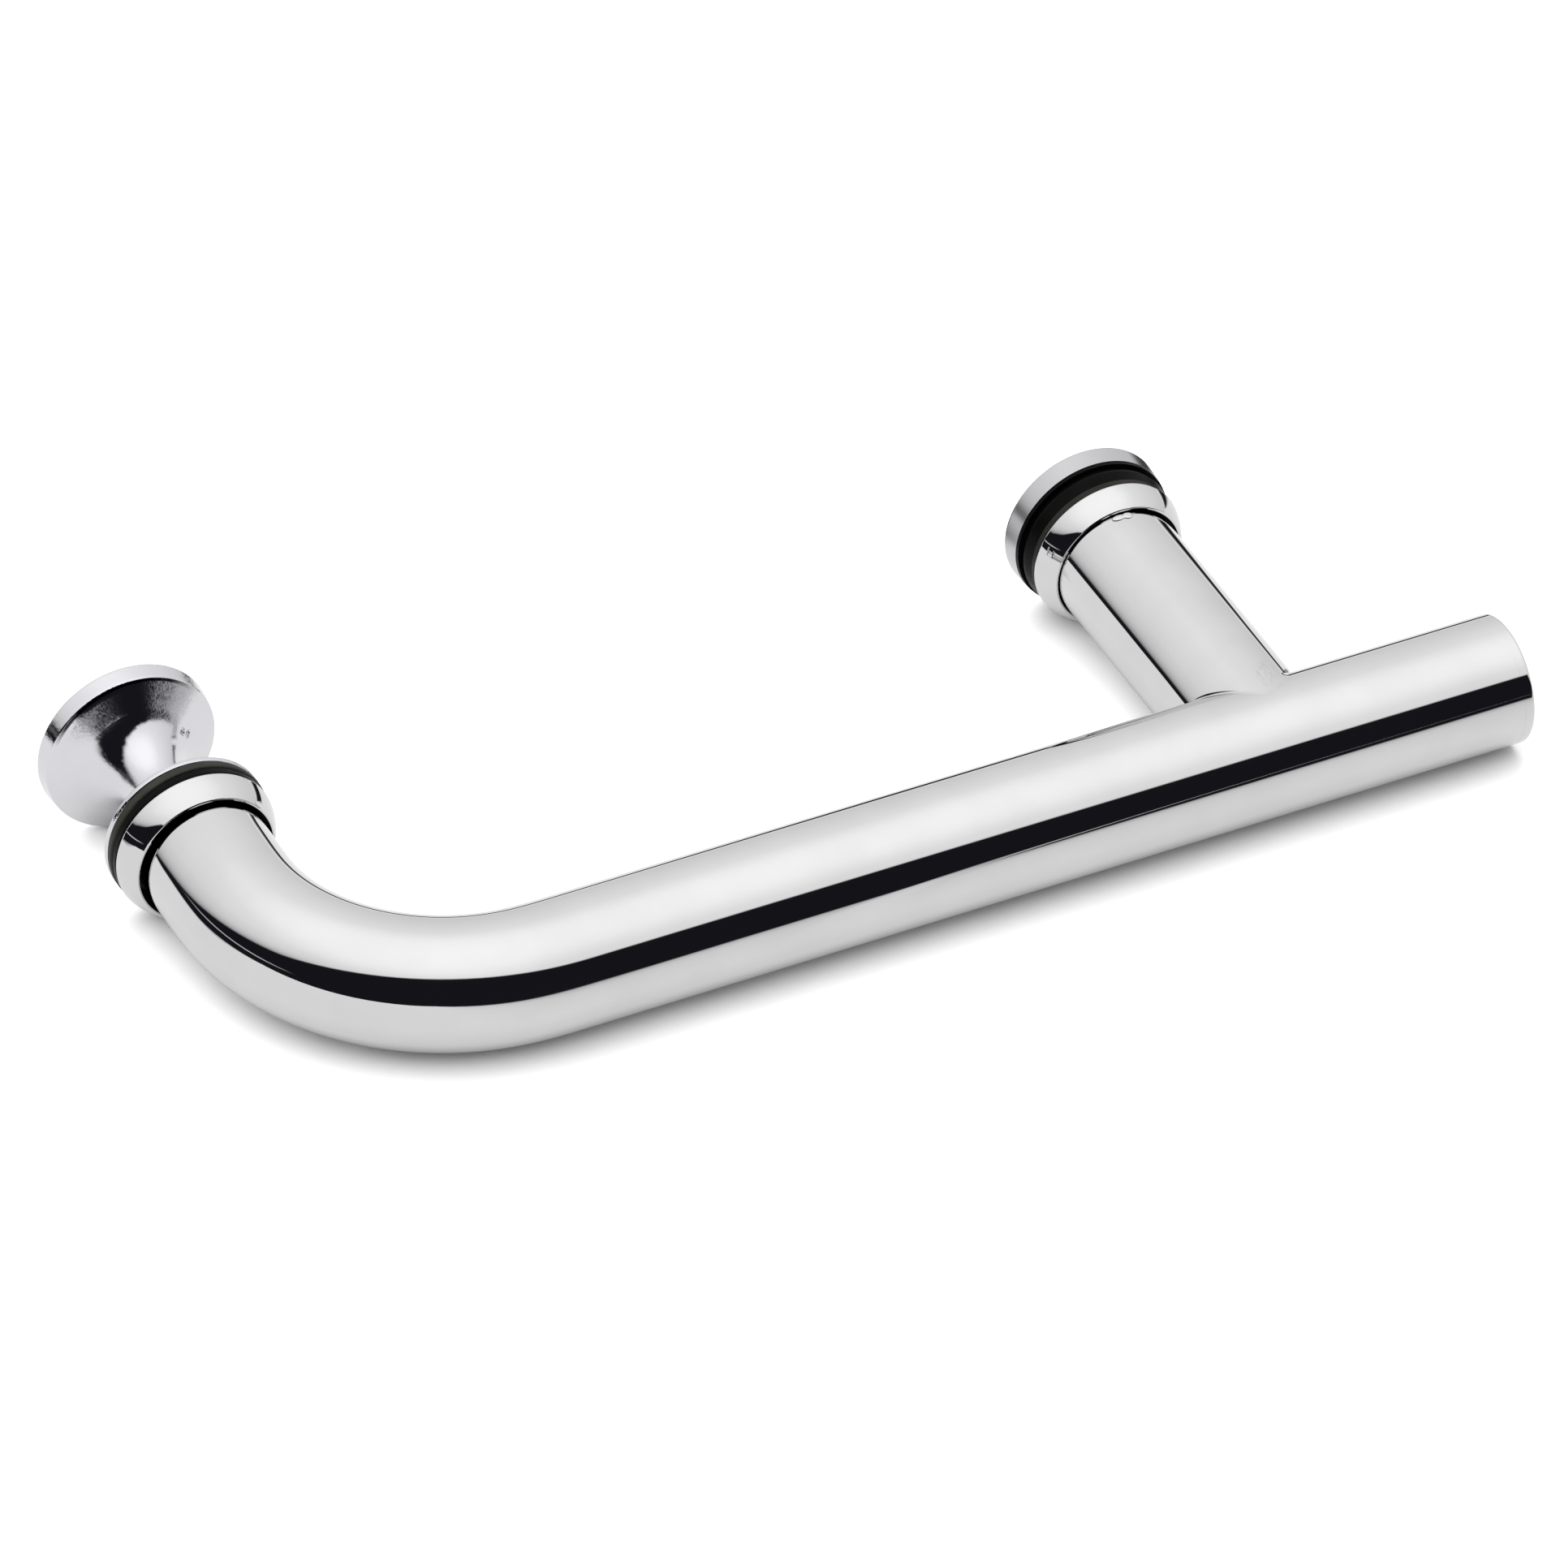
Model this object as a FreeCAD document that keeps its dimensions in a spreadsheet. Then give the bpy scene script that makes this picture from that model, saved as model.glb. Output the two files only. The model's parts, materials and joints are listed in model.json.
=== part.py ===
# Shower door pull handle: a bent tube bar with a T stand-off, clamped through two holes in a glass door.
# Millimetres. +X runs along the bar to its free end, +Y through the glass, +Z up out of the tubes' plane.
# The origin is the centre of the knob-end hole, on the glass face of the ring that seals it.
import FreeCAD, Part
import math
import os
import Sketcher

doc = FreeCAD.newDocument("shower_door_handle")

# Driving sizes
SIZES = [
    # tubes
    ("tube_dia", 19.0),
    ("tube_wall", 1.2),
    ("standoff_dia", 18.9),
    ("hole_pitch", 145.0),
    ("bend_radius", 32.0),
    ("stem_length", 42.9),
    ("standoff_length", 47.6),
    ("overhang", 37.8),
    ("end_plate", 1.6),
    ("end_spigot", 4.0),
    ("end_round", 0.5),
    # clearances shared by the fits
    ("slip", 0.05),
    ("thread_slack", 0.02),
    ("stud_clearance", 0.4),
    ("bore_clearance", 0.1),
    # threaded plugs and studs
    ("plug_flange", 1.0),
    ("knob_plug_spigot", 9.0),
    ("cap_plug_spigot", 10.0),
    ("plug_edge", 0.4),
    ("stud_dia", 5.0),
    ("stud_setback", 0.5),
    ("stud_point", 0.5),
    # collars
    ("collar_floor", 1.0),
    ("collar_depth", 3.0),
    ("collar_lip", 0.3),
    ("collar_lip_round", 0.2),
    ("collar_crown", 10.5),
    ("collar_round", 0.3),
    ("knob_collar_dia", 24.2),
    ("knob_collar_bore", 20.3),
    ("cap_collar_dia", 23.5),
    ("cap_collar_bore", 19.6),
    # rings
    ("knob_seal_dia", 23.9),
    ("knob_seal_thick", 1.45),
    ("knob_washer_dia", 24.2),
    ("knob_washer_thick", 1.35),
    ("cap_collar_seal_dia", 22.9),
    ("cap_collar_seal_thick", 1.3),
    ("cap_seal_thick", 3.5),
    ("cap_seal_root_dia", 22.6),
    ("cap_seal_crown_dia", 23.5),
    ("cap_seal_crown_at", 1.75),
    ("cap_seal_crease_dia", 22.6),
    ("cap_seal_lip_dia", 24.1),
    ("cap_seal_lip", 0.6),
    ("ring_round", 0.35),
    # bosses and sleeves in the glass holes
    ("boss_dia", 10.0),
    ("sleeve_dia", 11.8),
    ("boss_setback", 0.2),
    # knob
    ("knob_flange_dia", 24.3),
    ("knob_flange", 1.0),
    ("knob_flange_round", 0.35),
    ("knob_neck_dia", 8.2),
    ("knob_neck_foot", 1.4),
    ("knob_flare_from", 9.1),
    ("knob_flare_radius", 9.0),
    ("knob_flare_to", 19.2),
    ("knob_rim_dia", 25.8),
    ("knob_rim_taper", 0.35),
    ("knob_rim", 2.95),
    ("knob_rim_front", 0.3),
    ("knob_rim_round", 0.5),
    ("knob_thread_depth", 12.0),
    # back cap
    ("cap_front_dia", 24.3),
    ("cap_back_dia", 24.7),
    ("cap_thick", 3.4),
    ("cap_roof", 1.5),
    ("cap_round", 0.45),
]

sheet = doc.addObject("Spreadsheet::Sheet", "Sizes")
for row, (name, number) in enumerate(SIZES, start=1):
    sheet.set("A%d" % row, name)
    sheet.set("B%d" % row, repr(number))
    sheet.setAlias("B%d" % row, name)
doc.recompute()


class Size:
    """A length that knows its number now and the sheet expression that drives it."""

    def __init__(self, value, text):
        self.value = float(value)
        self.text = text

    def __add__(self, other):
        other = as_size(other)
        return Size(self.value + other.value, "(%s + %s)" % (self.text, other.text))

    def __sub__(self, other):
        other = as_size(other)
        return Size(self.value - other.value, "(%s - %s)" % (self.text, other.text))

    def __mul__(self, factor):
        return Size(self.value * factor, "(%s * %s)" % (self.text, factor))

    def __truediv__(self, factor):
        return Size(self.value / factor, "(%s / %s)" % (self.text, factor))


def as_size(item):
    return item if isinstance(item, Size) else Size(item, repr(float(item)))


def cell(name):
    return Size(sheet.get(name), "Sizes." + name)


ZERO = as_size(0.0)
S = {name: cell(name) for name, number in SIZES}

# Sizes worked out from the driving ones
tube_r = S["tube_dia"] / 2
tube_bore_r = tube_r - S["tube_wall"]
standoff_r = S["standoff_dia"] / 2
standoff_bore_r = standoff_r - S["tube_wall"]
stud_r = S["stud_dia"] / 2
thread_r = stud_r + S["thread_slack"]
stud_hole_r = stud_r + S["stud_clearance"]
boss_r = S["boss_dia"] / 2
sleeve_r = S["sleeve_dia"] / 2
ring_bore_r = sleeve_r + S["bore_clearance"]
collar_height = S["collar_floor"] + S["collar_depth"]
knob_stack = S["knob_seal_thick"] + S["knob_washer_thick"]
cap_stack = S["cap_collar_seal_thick"] + S["cap_seal_thick"]

# Stations along Y, counted from the knob-end seal's glass face
bar_y = ZERO - S["stem_length"] - S["plug_flange"] - S["collar_floor"] - S["knob_seal_thick"]
stem_end_y = bar_y + S["stem_length"]
knob_collar_back_y = stem_end_y + S["plug_flange"] + S["collar_floor"]
knob_y = knob_collar_back_y + knob_stack
standoff_end_y = bar_y + S["standoff_length"]
cap_collar_back_y = standoff_end_y + S["plug_flange"] + S["collar_floor"]
cap_glass_y = cap_collar_back_y + S["cap_collar_seal_thick"]
cap_y = cap_collar_back_y + cap_stack

PARTS = []


def new_body(label, x, y):
    """A body whose own origin is carried to (x, y, 0) of the handle's frame."""
    body = doc.addObject("PartDesign::Body", label)
    body.Label = label
    body.Placement.Base = FreeCAD.Vector(as_size(x).value, as_size(y).value, 0)
    body.setExpression("Placement.Base.x", as_size(x).text)
    body.setExpression("Placement.Base.y", as_size(y).text)
    PARTS.append(body)
    return body


def new_sketch(body, name, role):
    plane = [o for o in body.Origin.OriginFeatures if o.Role == role][0]
    sketch = body.newObject("Sketcher::SketchObject", name)
    sketch.AttachmentSupport = [(plane, "")]
    sketch.MapMode = "FlatFace"
    return sketch


def drive(sketch, name, *constraint):
    """Adds a constraint whose last item is a Size, and binds it to the sheet."""
    size = constraint[-1]
    index = sketch.addConstraint(Sketcher.Constraint(*constraint[:-1], size.value))
    sketch.renameConstraint(index, name)
    sketch.setExpression("Constraints." + name, size.text)


def pin(sketch, name, geometry, vertex, x, y):
    """Holds one sketch point at (x, y), both driven by the sheet."""
    if abs(x.value) < 1e-9:
        sketch.addConstraint(Sketcher.Constraint("PointOnObject", geometry, vertex, -2))
    else:
        drive(sketch, name + "_x", "DistanceX", -1, 1, geometry, vertex, x)
    if abs(y.value) < 1e-9:
        sketch.addConstraint(Sketcher.Constraint("PointOnObject", geometry, vertex, -1))
    else:
        drive(sketch, name + "_y", "DistanceY", -1, 1, geometry, vertex, y)


def arc_between(start, end, radius, side):
    """An arc on the side of the chord that puts its centre to the left (1) or right (-1), and its first end."""
    chord = end - start
    normal = FreeCAD.Vector(-chord.y, chord.x, 0).normalize()
    rise = max(radius ** 2 - chord.Length ** 2 / 4, 0.0) ** 0.5
    centre = (start + end) * 0.5 + normal * rise * side
    angles = []
    for point in (start, end):
        spoke = point - centre
        angles.append(math.atan2(spoke.y, spoke.x))
    # arcs run anticlockwise, so one whose centre lies to the right is drawn from its end
    first, last = angles if side > 0 else (angles[1], angles[0])
    if last < first:
        last += 2 * math.pi
    circle = Part.Circle(centre, FreeCAD.Vector(0, 0, 1), radius)
    return Part.ArcOfCircle(circle, first, last), (1, 2) if side > 0 else (2, 1)


class Arc:
    """An arc on from a point of an outline, its centre to the left (1) or right (-1) of the way.

    A smooth one leaves in line with the run before, and turns until it faces the next point.
    """

    def __init__(self, side, radius, smooth=False):
        self.side = side
        self.radius = radius
        self.smooth = smooth


def smooth_end(before, start, after, arc):
    """Where a smooth arc from start has turned far enough to run straight on to the point after."""
    run = (start - before).normalize()
    radius = arc.radius.value
    centre = start + FreeCAD.Vector(-run.y, run.x, 0) * radius * arc.side
    spoke = after - centre
    angle = math.atan2(spoke.y, spoke.x) - arc.side * math.acos(radius / spoke.Length)
    return centre + FreeCAD.Vector(math.cos(angle), math.sin(angle), 0) * radius


def outline(sketch, points):
    """Draws a closed outline of (x, y) points; a point may carry the arc that goes on from it."""
    places = [FreeCAD.Vector(p[0].value, p[1].value, 0) for p in points]
    corners = []
    for i, point in enumerate(points):
        arc = point[2] if len(point) > 2 else None
        smooth = arc is not None and arc.smooth
        corners.append((places[i], point[:2], arc, smooth))
        if smooth:
            after = places[(i + 1) % len(points)]
            corners.append((smooth_end(places[i - 1], places[i], after, arc), None, None, True))
    count = len(corners)
    ends = []
    for i, (start, sizes, arc, smooth) in enumerate(corners):
        end = corners[(i + 1) % count][0]
        if arc:
            curve, order = arc_between(start, end, arc.radius.value, arc.side)
        else:
            curve, order = Part.LineSegment(start, end), (1, 2)
        sketch.addGeometry(curve, False)
        ends.append(order)
    for i in range(count):
        after = (i + 1) % count
        meeting = "Tangent" if corners[after][3] else "Coincident"
        sketch.addConstraint(Sketcher.Constraint(meeting, i, ends[i][1], after, ends[after][0]))
    for i, (start, sizes, arc, smooth) in enumerate(corners):
        if sizes:
            pin(sketch, "p%d" % i, i, ends[i][0], *sizes)
        if arc:
            drive(sketch, "arc%d" % i, "Radius", i, arc.radius)


def turned(label, x, y, points, axis="V_Axis"):
    """A piece turned about its own axis from a half section."""
    body = new_body(label, x, y)
    sketch = new_sketch(body, label + "_section", "XY_Plane")
    outline(sketch, points)
    turn = body.newObject("PartDesign::Revolution", label + "_turn")
    turn.Profile = sketch
    turn.ReferenceAxis = (sketch, [axis])
    turn.Angle = 360
    sketch.Visibility = False
    doc.recompute()
    return body


def ring_edges(shape, radius, station, axis="y"):
    """Names of the circular edges of one radius at one station along the turning axis."""
    names = []
    for number, edge in enumerate(shape.Edges, start=1):
        curve = edge.Curve
        if not isinstance(curve, Part.Circle):
            continue
        place = curve.Center.y if axis == "y" else curve.Center.x
        if abs(curve.Radius - radius.value) < 1e-4 and abs(place - station.value) < 1e-4:
            names.append("Edge%d" % number)
    return names


def rounded(body, name, radius, places, axis="y"):
    """Rounds the circular edges at the given (radius, station) places."""
    tip = body.Tip
    edges = []
    for place_radius, station in places:
        found = ring_edges(tip.Shape, place_radius, station, axis)
        if not found:
            raise RuntimeError("no edge to round on " + body.Label)
        edges += found
    fillet = body.newObject("PartDesign::Fillet", name)
    fillet.Base = (tip, edges)
    fillet.Radius = radius.value
    fillet.setExpression("Radius", radius.text)
    body.Tip = fillet
    doc.recompute()
    return fillet


# Bar: a ring swept from the stem's end, down the stem, round the bend and along the bar
bar = new_body("bar_tube", 0.0, stem_end_y)
ring = new_sketch(bar, "bar_ring", "XZ_Plane")
for name, radius in (("outer", tube_r), ("bore", tube_bore_r)):
    number = ring.addGeometry(Part.Circle(FreeCAD.Vector(0, 0, 0), FreeCAD.Vector(0, 0, 1), radius.value), False)
    ring.addConstraint(Sketcher.Constraint("Coincident", number, 3, -1, 1))
    drive(ring, name, "Radius", number, radius)
path = new_sketch(bar, "bar_path", "XY_Plane")
leg = S["stem_length"] - S["bend_radius"]
run = S["hole_pitch"] + S["overhang"] - S["end_plate"] - S["bend_radius"]
bend = S["bend_radius"].value
corner = FreeCAD.Vector(0, -leg.value, 0)
bend_end = FreeCAD.Vector(bend, -leg.value - bend, 0)
bar_end = bend_end + FreeCAD.Vector(run.value, 0, 0)
bend_arc, (arc_start, arc_end) = arc_between(corner, bend_end, bend, 1)
path.addGeometry(Part.LineSegment(FreeCAD.Vector(0, 0, 0), corner), False)
path.addGeometry(bend_arc, False)
path.addGeometry(Part.LineSegment(bend_end, bar_end), False)
path.addConstraint(Sketcher.Constraint("Coincident", 0, 1, -1, 1))
path.addConstraint(Sketcher.Constraint("Vertical", 0))
path.addConstraint(Sketcher.Constraint("Tangent", 0, 2, 1, arc_start))
path.addConstraint(Sketcher.Constraint("Tangent", 1, arc_end, 2, 1))
path.addConstraint(Sketcher.Constraint("Horizontal", 2))
drive(path, "leg", "Distance", 0, leg)
drive(path, "bend", "Radius", 1, S["bend_radius"])
drive(path, "run", "Distance", 2, run)
sweep = bar.newObject("PartDesign::AdditivePipe", "bar_sweep")
sweep.Profile = ring
sweep.Spine = path
ring.Visibility = False
path.Visibility = False
doc.recompute()

# Stand-off: a ring padded out from the bar's axis, then coped by the bar's own outside
standoff = new_body("standoff_tube", S["hole_pitch"], bar_y)
ring = new_sketch(standoff, "standoff_ring", "XZ_Plane")
for name, radius in (("outer", standoff_r), ("bore", standoff_bore_r)):
    number = ring.addGeometry(Part.Circle(FreeCAD.Vector(0, 0, 0), FreeCAD.Vector(0, 0, 1), radius.value), False)
    ring.addConstraint(Sketcher.Constraint("Coincident", number, 3, -1, 1))
    drive(ring, name, "Radius", number, radius)
stub = standoff.newObject("PartDesign::Pad", "standoff_pad")
stub.Profile = ring
stub.Length = S["standoff_length"].value
stub.setExpression("Length", S["standoff_length"].text)
stub.Reversed = True
ring.Visibility = False
doc.recompute()
cope_sketch = new_sketch(standoff, "cope_section", "XY_Plane")
outline(cope_sketch, [
    (ZERO, ZERO),
    (S["tube_dia"], ZERO),
    (S["tube_dia"], tube_r),
    (ZERO, tube_r),
])
cope = standoff.newObject("PartDesign::Groove", "standoff_cope")
cope.Profile = cope_sketch
cope.ReferenceAxis = (cope_sketch, ["H_Axis"])
cope.Angle = 360
cope_sketch.Visibility = False
doc.recompute()
mirrored = standoff.newObject("PartDesign::Mirrored", "standoff_cope_mirror")
mirrored.Originals = [cope]
mirrored.MirrorPlane = ([o for o in standoff.Origin.OriginFeatures if o.Role == "YZ_Plane"][0], [""])
standoff.Tip = mirrored
doc.recompute()

# End cap of the bar: plate outside, spigot inside the bore
end_x = S["hole_pitch"] + S["overhang"] - S["end_plate"] - S["end_spigot"]
turned("bar_end_cap", end_x, bar_y, [
    (ZERO, ZERO),
    (S["end_spigot"] + S["end_plate"], ZERO),
    (S["end_spigot"] + S["end_plate"], tube_r),
    (S["end_spigot"], tube_r),
    (S["end_spigot"], tube_bore_r - S["slip"]),
    (ZERO, tube_bore_r - S["slip"]),
], axis="H_Axis")
rounded(PARTS[-1], "end_cap_round", S["end_round"], [(tube_r, S["end_spigot"] + S["end_plate"])], axis="x")

# Threaded plugs: flange on the tube's end, spigot in its bore, thread right through
for label, x, y, spigot, flange_r, bore_r in (
    ("knob_insert", 0.0, stem_end_y, S["knob_plug_spigot"], tube_r, tube_bore_r),
    ("cap_insert", S["hole_pitch"], standoff_end_y, S["cap_plug_spigot"], standoff_r, standoff_bore_r),
):
    plug_r = bore_r - S["slip"]
    turned(label, x, y - spigot, [
        (thread_r, ZERO),
        (plug_r, ZERO),
        (plug_r, spigot),
        (flange_r - S["plug_edge"], spigot),
        (flange_r - S["plug_edge"], spigot + S["plug_flange"]),
        (thread_r, spigot + S["plug_flange"]),
    ])

# Collars: crowned cups, wide rim to the glass, open over the tube's end
for label, x, back_y, rim_dia, bore_dia in (
    ("knob_collar", 0.0, knob_collar_back_y, S["knob_collar_dia"], S["knob_collar_bore"]),
    ("cap_collar", S["hole_pitch"], cap_collar_back_y, S["cap_collar_dia"], S["cap_collar_bore"]),
):
    rim_r = rim_dia / 2
    bore_r = bore_dia / 2
    turned(label, x, back_y - collar_height, [
        (bore_r, ZERO),
        (bore_r + S["collar_lip"], ZERO, Arc(1, S["collar_crown"])),
        (rim_r, collar_height),
        (stud_hole_r, collar_height),
        (stud_hole_r, S["collar_depth"]),
        (bore_r, S["collar_depth"]),
    ])
    rounded(PARTS[-1], label + "_round", S["collar_round"], [(rim_r, collar_height)])
    rounded(PARTS[-1], label + "_lip", S["collar_lip_round"], [(bore_r + S["collar_lip"], ZERO)])

# Plain rings at the knob end and by the cap-end collar
for label, x, y, dia, thick in (
    ("knob_seal", 0.0, knob_collar_back_y, S["knob_seal_dia"], S["knob_seal_thick"]),
    ("knob_washer", 0.0, knob_collar_back_y + S["knob_seal_thick"], S["knob_washer_dia"], S["knob_washer_thick"]),
    ("cap_collar_seal", S["hole_pitch"], cap_collar_back_y, S["cap_collar_seal_dia"], S["cap_collar_seal_thick"]),
):
    ring_r = dia / 2
    turned(label, x, y, [
        (ring_bore_r, ZERO),
        (ring_r, ZERO),
        (ring_r, thick),
        (ring_bore_r, thick),
    ])
    rounded(PARTS[-1], label + "_round", S["ring_round"], [(ring_r, ZERO), (ring_r, thick)])

# Thick seal at the cap: a crowned body, a crease, and a thin lip on the cap's face
lip_y = S["cap_seal_thick"] - S["cap_seal_lip"]
turned("cap_seal", S["hole_pitch"], cap_glass_y, [
    (ring_bore_r, ZERO),
    (S["cap_seal_root_dia"] / 2, ZERO),
    (S["cap_seal_crown_dia"] / 2, S["cap_seal_crown_at"]),
    (S["cap_seal_crease_dia"] / 2, lip_y),
    (S["cap_seal_lip_dia"] / 2, lip_y),
    (S["cap_seal_lip_dia"] / 2, S["cap_seal_thick"]),
    (ring_bore_r, S["cap_seal_thick"]),
])
rounded(PARTS[-1], "cap_seal_round", S["ring_round"] * 2, [(S["cap_seal_crown_dia"] / 2, S["cap_seal_crown_at"])])

# Sleeves round the bosses
for label, x, face_y, stack in (
    ("knob_sleeve", 0.0, knob_y, knob_stack),
    ("cap_sleeve", S["hole_pitch"], cap_y, cap_stack),
):
    reach = stack - S["boss_setback"]
    turned(label, x, face_y - reach, [
        (boss_r + S["slip"], ZERO),
        (sleeve_r, ZERO),
        (sleeve_r, reach),
        (boss_r + S["slip"], reach),
    ])

# Knob: boss, flange, neck, trumpet flare that ends in a cone, and rim, with a blind thread from the boss
knob_boss = knob_stack - S["boss_setback"]
flange_back = knob_boss + S["knob_flange"]
neck_r = S["knob_neck_dia"] / 2
rim_r = S["knob_rim_dia"] / 2
flare_from = knob_boss + S["knob_flare_from"]
flare_to = knob_boss + S["knob_flare_to"]
knob_back = flare_to + S["knob_rim"]
turned("knob", 0.0, knob_y - knob_boss, [
    (thread_r, ZERO),
    (boss_r, ZERO),
    (boss_r, knob_boss),
    (S["knob_flange_dia"] / 2, knob_boss),
    (S["knob_flange_dia"] / 2, flange_back),
    (neck_r, flange_back),
    (neck_r, flare_from, Arc(-1, S["knob_flare_radius"], smooth=True)),
    (rim_r, flare_to),
    (rim_r + S["knob_rim_taper"], knob_back),
    (ZERO, knob_back),
    (ZERO, S["knob_thread_depth"]),
    (thread_r, S["knob_thread_depth"]),
])
rounded(PARTS[-1], "knob_foot", S["knob_neck_foot"], [(neck_r, flange_back)])
rounded(PARTS[-1], "knob_flange_edges", S["knob_flange_round"], [
    (S["knob_flange_dia"] / 2, knob_boss),
    (S["knob_flange_dia"] / 2, flange_back),
])
rounded(PARTS[-1], "knob_front_edge", S["knob_rim_front"], [(rim_r, flare_to)])
rounded(PARTS[-1], "knob_back_edge", S["knob_rim_round"], [(rim_r + S["knob_rim_taper"], knob_back)])

# Back cap: boss and disc, with a blind thread from the boss
cap_boss = cap_stack - S["boss_setback"]
cap_back = cap_boss + S["cap_thick"]
cap_thread = cap_back - S["cap_roof"]
turned("back_cap", S["hole_pitch"], cap_y - cap_boss, [
    (thread_r, ZERO),
    (boss_r, ZERO),
    (boss_r, cap_boss),
    (S["cap_front_dia"] / 2, cap_boss),
    (S["cap_back_dia"] / 2, cap_back),
    (ZERO, cap_back),
    (ZERO, cap_thread),
    (thread_r, cap_thread),
])
rounded(PARTS[-1], "back_cap_edge", S["cap_round"], [(S["cap_back_dia"] / 2, cap_back)])

# Studs: from just inside the plug to the bottom of the blind thread, both ends pointed
for label, x, low_y, high_y in (
    ("knob_stud", 0.0, stem_end_y - S["knob_plug_spigot"], knob_y - knob_boss + S["knob_thread_depth"]),
    ("cap_stud", S["hole_pitch"], standoff_end_y - S["cap_plug_spigot"], cap_y - cap_boss + cap_thread),
):
    length = high_y - low_y - S["stud_setback"]
    turned(label, x, low_y + S["stud_setback"], [
        (ZERO, ZERO),
        (stud_r - S["stud_point"], ZERO),
        (stud_r, S["stud_point"]),
        (stud_r, length - S["stud_point"]),
        (stud_r - S["stud_point"], length),
        (ZERO, length),
    ])

doc.recompute()

# Check every object, then write each piece
for item in doc.Objects:
    if "Invalid" in item.State or "Error" in item.State:
        raise RuntimeError("%s is in state %s" % (item.Label, item.State))
os.makedirs("parts", exist_ok=True)
for body in PARTS:
    shape = body.Shape
    if shape.isNull() or not shape.isValid() or len(shape.Solids) != 1:
        raise RuntimeError("%s is not one valid solid" % body.Label)
    shape.exportStep("parts/%s.step" % body.Label)
    box = shape.optimalBoundingBox(False, False)
    print("%-16s volume %9.1f  x %.2f..%.2f  y %.2f..%.2f  z %.2f..%.2f" % (
        body.Label, shape.Volume, box.XMin, box.XMax, box.YMin, box.YMax, box.ZMin, box.ZMax))
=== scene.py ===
# %% [markdown]
# A chromed handle for a glass shower door.
#
# The handle is a bent tube with a second tube welded to it, and gasketed collars that clamp the glass.
# Its solids come from a CAD model, at their real size, and they stay where the CAD puts them.
# This lesson gives every surface its finish, adds what a polisher and a plater leave behind,
# and builds the small studio that the chrome mirrors. Chrome has hardly a colour of its own, so
# most of its look is in what stands round it.

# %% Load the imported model
import json
import math

import bpy
from mathutils import Matrix, Vector


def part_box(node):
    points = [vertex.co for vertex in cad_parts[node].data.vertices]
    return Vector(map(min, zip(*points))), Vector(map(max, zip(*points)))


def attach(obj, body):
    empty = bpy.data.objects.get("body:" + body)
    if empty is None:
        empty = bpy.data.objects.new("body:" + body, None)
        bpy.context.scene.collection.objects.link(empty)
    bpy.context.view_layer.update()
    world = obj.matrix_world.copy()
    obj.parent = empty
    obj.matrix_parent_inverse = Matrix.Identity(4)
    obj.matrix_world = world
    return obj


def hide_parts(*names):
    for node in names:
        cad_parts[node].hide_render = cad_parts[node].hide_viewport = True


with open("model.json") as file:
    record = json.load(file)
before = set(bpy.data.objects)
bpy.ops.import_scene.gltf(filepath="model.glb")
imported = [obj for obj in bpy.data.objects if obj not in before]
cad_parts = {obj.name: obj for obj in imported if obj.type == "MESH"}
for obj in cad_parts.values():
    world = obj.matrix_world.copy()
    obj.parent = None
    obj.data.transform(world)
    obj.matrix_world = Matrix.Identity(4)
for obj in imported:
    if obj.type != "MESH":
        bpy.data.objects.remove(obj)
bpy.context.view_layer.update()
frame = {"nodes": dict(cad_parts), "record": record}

BODY = "root"
MM = 0.001
nodes = frame["nodes"]
print("CAD nodes:", len(nodes))

# %% Measures of the tubes and the knob
bar_low, bar_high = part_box("bar_tube")
bar_radius = bar_high.z
bar_axis_y = bar_low.y + bar_radius
stem_end = bar_high.y
standoff_low, standoff_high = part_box("standoff_tube")
standoff_radius = standoff_high.z
standoff_x = (standoff_low.x + standoff_high.x) / 2
knob_low, knob_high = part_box("knob")
rim_radius = knob_high.z
print("tube radii in mm:", round(bar_radius / MM, 2), round(standoff_radius / MM, 2))
print("knob's rim radius in mm:", round(rim_radius / MM, 2))

# %% [markdown]
# Finishes are node trees, and each of them needs the same few moves: add a node, set its values,
# join two sockets. Doing that by hand in the editor is fine for one finish. Here there are ten,
# so the moves are small functions. All patterns read Object coordinates, in metres, so they keep
# their scale on every piece and stay put when the handle turns.

# %% Helpers for nodes
def add_node(tree, kind, values=None, **settings):
    """Adds one shader node, sets its own settings, then the values of its unlinked inputs."""
    node = tree.nodes.new("ShaderNode" + kind)
    for name, setting in settings.items():
        setattr(node, name, setting)
    for name, value in (values or {}).items():
        node.inputs[name].default_value = value
    return node


def join(tree, source, target):
    """Wires an output socket to an input socket."""
    tree.links.new(source, target)


def add_ramp(tree, source, stops):
    """A colour ramp through (position, grey or colour) stops, fed by one socket."""
    node = add_node(tree, "ValToRGB")
    ramp = node.color_ramp
    while len(ramp.elements) < len(stops):
        ramp.elements.new(0.5)
    for element, (position, tone) in zip(ramp.elements, stops):
        colour = (tone, tone, tone) if isinstance(tone, (int, float)) else tone
        element.position = position
        element.color = (*colour, 1.0)
    join(tree, source, node.inputs["Fac"])
    return node.outputs["Color"]


print("helpers for nodes are ready")

# %% Helpers for sums
def add_math(tree, operation, first, second=0.0):
    """One sum of two sockets, of a socket and a number, or of one socket alone."""
    node = add_node(tree, "Math", operation=operation)
    for socket, value in zip(node.inputs, (first, second)):
        if isinstance(value, (int, float)):
            socket.default_value = value
        else:
            join(tree, value, socket)
    return node.outputs["Value"]


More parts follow.
